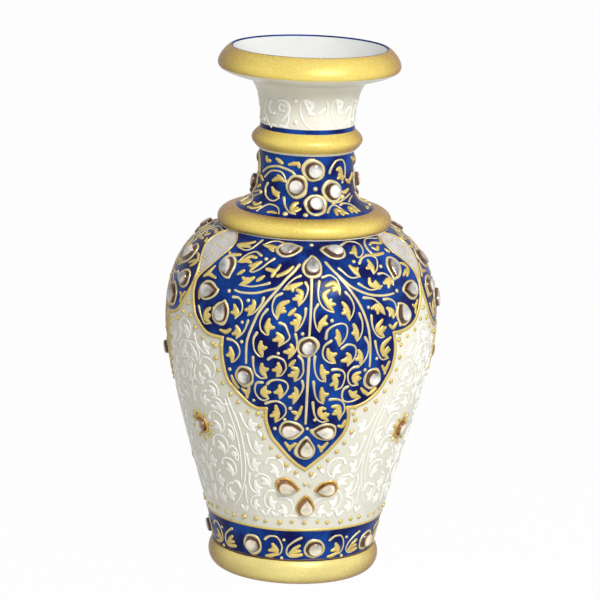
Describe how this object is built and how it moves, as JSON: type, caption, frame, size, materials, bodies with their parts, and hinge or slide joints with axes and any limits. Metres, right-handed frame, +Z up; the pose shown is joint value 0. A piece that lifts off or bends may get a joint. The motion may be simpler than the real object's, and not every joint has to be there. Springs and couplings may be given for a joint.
{
  "type": "marble vase",
  "caption": "Tall turned marble vase with a round foot, swelling body, ringed neck and flared mouth, enamelled panels and stones set on the outside.",
  "frame": {"origin": "centre of the foot's flat underside, on the surface the vase stands on", "axes": "+Z up along the turning axis; the middle of the front panel faces -Y"},
  "size_m": [0.1191, 0.1191, 0.229],
  "materials": {
    "white_marble": "polished, slightly translucent",
    "gilded_marble": "satin gold paint over marble",
    "blue_enamelled_marble": "glossy deep blue enamel paint",
    "cut_stones": "polished, foil backed"
  },
  "bodies": {
    "root": {"foot": "gilded_marble", "body": "white_marble", "shoulder_collar": "gilded_marble", "neck": "blue_enamelled_marble", "mouth": "white_marble", "panel1_top_drops": "cut_stones", "panel1_left_drops": "cut_stones", "panel1_right_drops": "cut_stones", "panel1_tip_drops": "cut_stones", "panel1_lower_drops": "cut_stones", "panel1_centre_stone": "cut_stones", "panel1_left_round_stone": "cut_stones", "panel1_right_round_stone": "cut_stones", "neck1_top_stone": "cut_stones", "neck1_left_stone": "cut_stones", "neck1_right_stone": "cut_stones", "neck1_bottom_stone": "cut_stones", "panel2_top_drops": "cut_stones", "panel2_left_drops": "cut_stones", "panel2_right_drops": "cut_stones", "panel2_tip_drops": "cut_stones", "panel2_lower_drops": "cut_stones", "panel2_centre_stone": "cut_stones", "panel2_left_round_stone": "cut_stones", "panel2_right_round_stone": "cut_stones", "neck2_top_stone": "cut_stones", "neck2_left_stone": "cut_stones", "neck2_right_stone": "cut_stones", "neck2_bottom_stone": "cut_stones", "panel3_top_drops": "cut_stones", "panel3_left_drops": "cut_stones", "panel3_right_drops": "cut_stones", "panel3_tip_drops": "cut_stones", "panel3_lower_drops": "cut_stones", "panel3_centre_stone": "cut_stones", "panel3_left_round_stone": "cut_stones", "panel3_right_round_stone": "cut_stones", "neck3_top_stone": "cut_stones", "neck3_left_stone": "cut_stones", "neck3_right_stone": "cut_stones", "neck3_bottom_stone": "cut_stones", "flower_stone_1": "cut_stones", "flower_stone_2": "cut_stones", "flower_stone_3": "cut_stones", "band_stone_1": "cut_stones", "band_stone_2": "cut_stones", "band_stone_3": "cut_stones", "band_stone_4": "cut_stones", "band_stone_5": "cut_stones", "band_stone_6": "cut_stones", "band_stone_7": "cut_stones", "band_stone_8": "cut_stones"}
  },
  "joints": []
}
